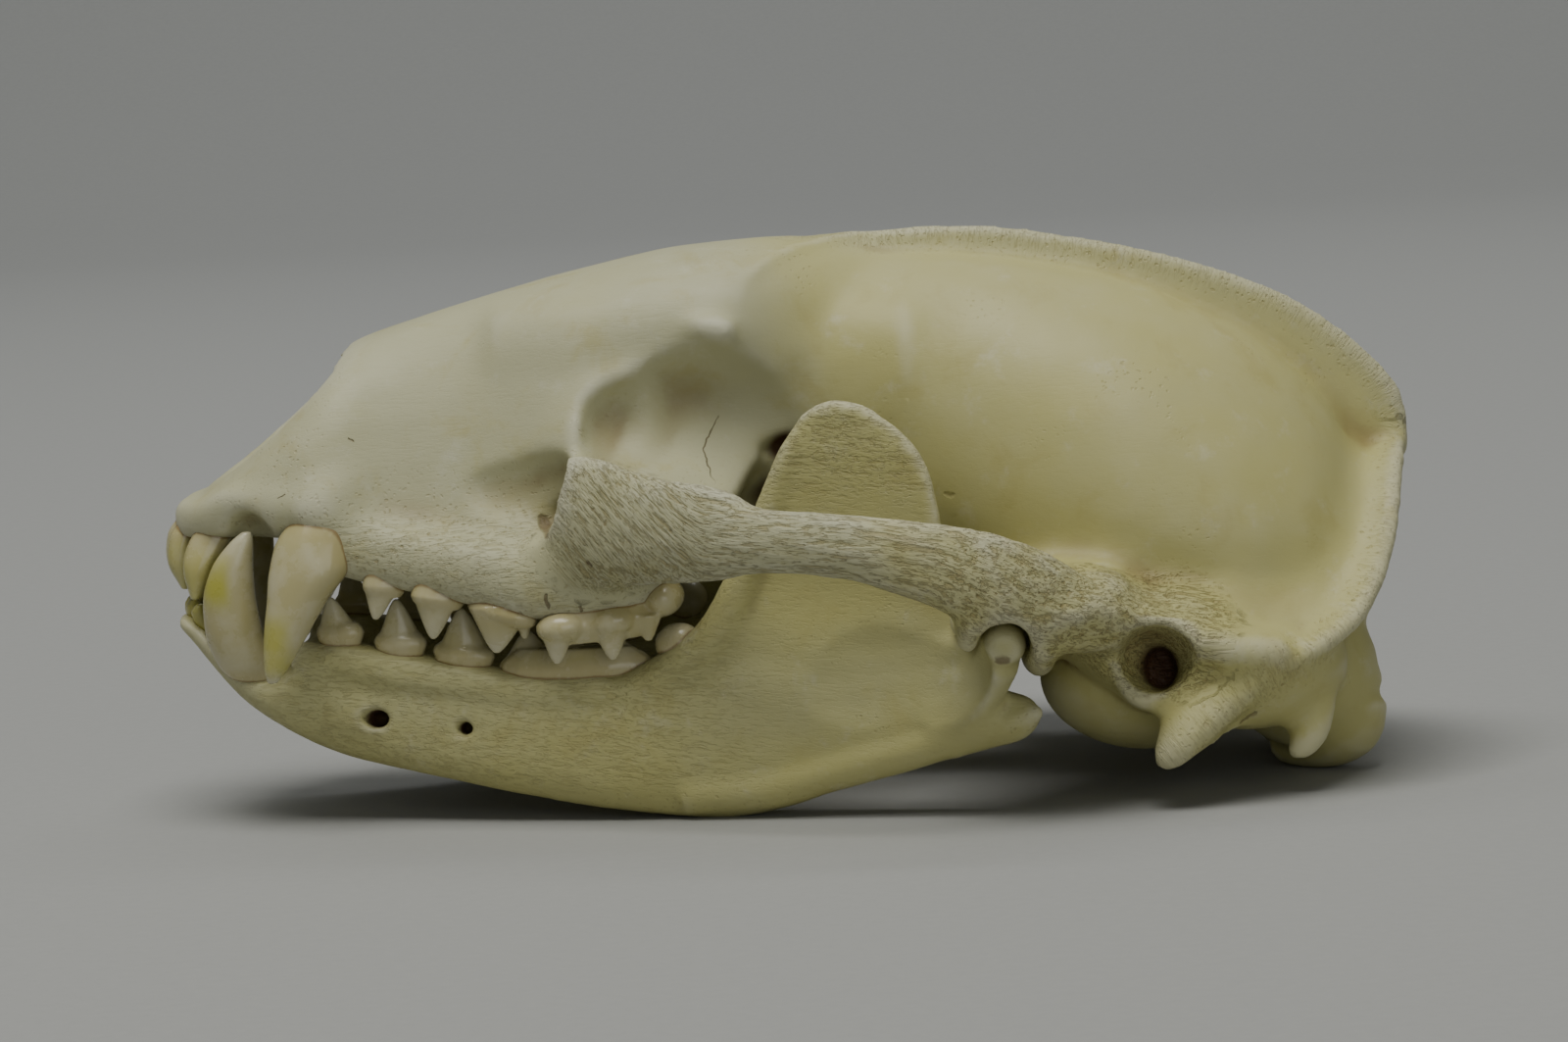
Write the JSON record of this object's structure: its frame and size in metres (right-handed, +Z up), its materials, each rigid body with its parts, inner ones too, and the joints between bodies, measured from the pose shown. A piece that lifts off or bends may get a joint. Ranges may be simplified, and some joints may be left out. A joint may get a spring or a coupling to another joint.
{
  "type": "badger skull",
  "caption": "Adult badger skull with its lower jaw closed: low snout with full teeth, cheek arches, rounded braincase and a tall crest, resting on its jaw and neck condyles.",
  "frame": {"origin": "centre of the bounding box on the floor, below the middle of the skull", "axes": "-X is the snout, +X the back of the head, -Y the animal's left side, +Z up"},
  "size_m": [0.1309, 0.078, 0.0582],
  "materials": {
    "bone": "dry ivory bone with a faint polish on the braincase",
    "teeth": "ivory enamel, stained at the gum line"
  },
  "bodies": {
    "root": {"face": "bone", "braincase": "bone", "zygomatic_arch_left": "bone", "zygomatic_arch_right": "bone", "auditory_bulla_left": "bone", "auditory_bulla_right": "bone", "mandible_left": "bone", "mandible_right": "bone"}
  },
  "joints": []
}
